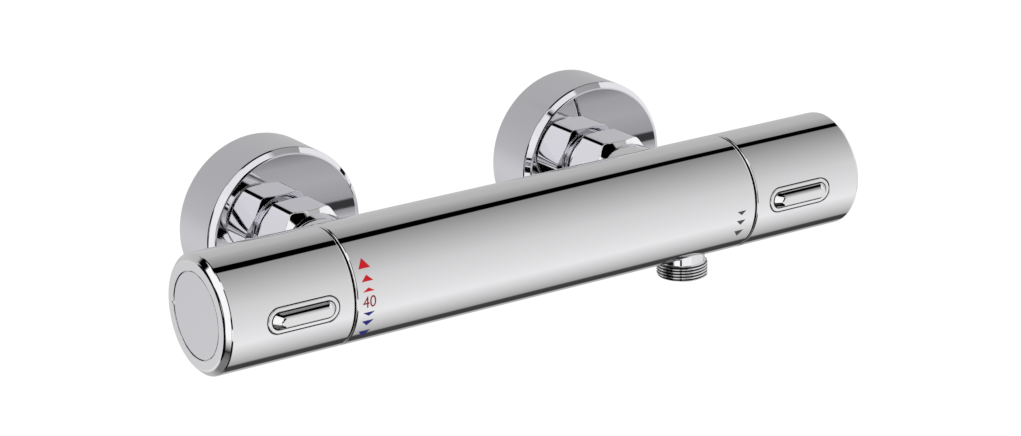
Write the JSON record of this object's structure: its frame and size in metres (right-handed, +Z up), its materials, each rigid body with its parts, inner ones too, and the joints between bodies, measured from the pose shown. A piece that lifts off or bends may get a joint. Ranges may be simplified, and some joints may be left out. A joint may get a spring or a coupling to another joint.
{
  "type": "thermostatic shower valve",
  "caption": "Exposed thermostatic bar shower valve with a temperature handle and a flow handle, push-button stops, wall unions under round escutcheons and a threaded outlet below.",
  "frame": {"origin": "on the wall plane, midway between the two wall threads", "axes": "+X to the right along the bar, +Y into the wall, +Z up"},
  "size_m": [0.3, 0.1277, 0.0694],
  "materials": {
    "chrome": "polished chrome plate",
    "brass": "machined brass",
    "steel": "stainless steel",
    "rubber": "matt black rubber",
    "white_plastic": "moulded",
    "dark_plastic": "moulded",
    "red_fibre": "pressed fibre",
    "copper": "drawn copper",
    "ceramic": "lapped ceramic"
  },
  "bodies": {
    "valve": {"valve_body": "chrome", "outlet_nipple": "chrome", "outlet_oring": "rubber", "hot_inlet_nipple": "brass", "cold_inlet_nipple": "brass", "nipple_orings": "rubber", "union_washers": "red_fibre", "inlet_strainers": "steel", "hot_wall_connector": "chrome", "cold_wall_connector": "chrome", "hot_escutcheon": "chrome", "cold_escutcheon": "chrome", "escutcheon_seals": "rubber", "escutcheon_grip_rings": "rubber", "hot_check_cage": "white_plastic", "hot_check_spring": "steel", "cold_check_cage": "white_plastic", "cold_check_spring": "steel", "thermostat_housing": "brass", "thermostat_headpart": "brass", "thermostat_retaining_nut": "brass", "hot_seat_ring": "brass", "thermostat_orings": "rubber", "return_spring": "steel", "temperature_stop_ring": "red_fibre", "flow_housing": "brass", "flow_retaining_nut": "brass", "flow_orings": "rubber", "disc_seal": "rubber", "fixed_disc": "ceramic", "flow_stop_ring": "white_plastic"},
    "temperature_handle": {"temperature_handle": "chrome", "temperature_spline_bush": "white_plastic", "temperature_handle_screw": "steel", "temperature_end_cap": "chrome", "temperature_button_spring": "steel", "temperature_spindle": "brass", "temperature_spindle_oring": "rubber"},
    "temperature_button": {"temperature_button": "chrome"},
    "flow_handle": {"flow_handle": "chrome", "flow_spline_bush": "white_plastic", "flow_handle_screw": "steel", "flow_end_cap": "chrome", "flow_button_spring": "steel", "flow_spindle": "brass", "moving_disc": "ceramic"},
    "flow_button": {"flow_button": "chrome"},
    "adjuster": {"adjusting_cup": "brass", "overload_spring": "steel", "overload_pusher": "brass", "cup_clip": "steel", "wax_piston": "steel"},
    "shuttle": {"wax_element": "copper", "mixing_slide": "dark_plastic", "slide_oring": "rubber"},
    "hot_check_poppet": {"hot_check_poppet": "dark_plastic"},
    "cold_check_poppet": {"cold_check_poppet": "dark_plastic"},
    "hot_union_nut": {"hot_union_nut": "chrome"},
    "cold_union_nut": {"cold_union_nut": "chrome"}
  },
  "joints": [
    {"name": "temperature_turn", "type": "hinge", "parent": "valve", "child": "temperature_handle", "pos_m": [0, -0.0862, 0.0075], "axis": [-1, 0, 0], "range_deg": [-120, 45]},
    {"name": "flow_turn", "type": "hinge", "parent": "valve", "child": "flow_handle", "pos_m": [0, -0.0862, 0.0075], "axis": [1, 0, 0], "range_deg": [0, 90]},
    {"name": "temperature_button_press", "type": "slide", "parent": "temperature_handle", "child": "temperature_button", "axis": [0, 1, 0], "range_m": [0, 0.002], "stiffness_N_per_m": 600, "springref_m": -0.002, "deforming": ["temperature_button_spring"]},
    {"name": "flow_button_press", "type": "slide", "parent": "flow_handle", "child": "flow_button", "axis": [0, 1, 0], "range_m": [0, 0.002], "stiffness_N_per_m": 600, "springref_m": -0.002, "deforming": ["flow_button_spring"]},
    {"name": "adjuster_travel", "type": "slide", "parent": "valve", "child": "adjuster", "axis": [-1, 0, 0], "range_m": [-0.0007, 0.0003], "deforming": ["return_spring"]},
    {"name": "wax_expansion", "type": "slide", "parent": "adjuster", "child": "shuttle", "axis": [1, 0, 0], "range_m": [-0.0002, 0.0002], "stiffness_N_per_m": 500},
    {"name": "hot_check_lift", "type": "slide", "parent": "valve", "child": "hot_check_poppet", "axis": [0, -1, 0], "range_m": [0, 0.003], "stiffness_N_per_m": 100, "springref_m": -0.002, "deforming": ["hot_check_spring"]},
    {"name": "cold_check_lift", "type": "slide", "parent": "valve", "child": "cold_check_poppet", "axis": [0, -1, 0], "range_m": [0, 0.003], "stiffness_N_per_m": 100, "springref_m": -0.002, "deforming": ["cold_check_spring"]},
    {"name": "hot_nut_turn", "type": "hinge", "parent": "valve", "child": "hot_union_nut", "pos_m": [-0.075, -0.0862, 0.0075], "axis": [0, 1, 0], "continuous": true},
    {"name": "cold_nut_turn", "type": "hinge", "parent": "valve", "child": "cold_union_nut", "pos_m": [0.075, -0.0862, 0.0075], "axis": [0, 1, 0], "continuous": true}
  ],
  "couplings": [
    {"joint": "adjuster_travel", "follows": "temperature_turn", "m_per_rad": 0.00031831}
  ]
}
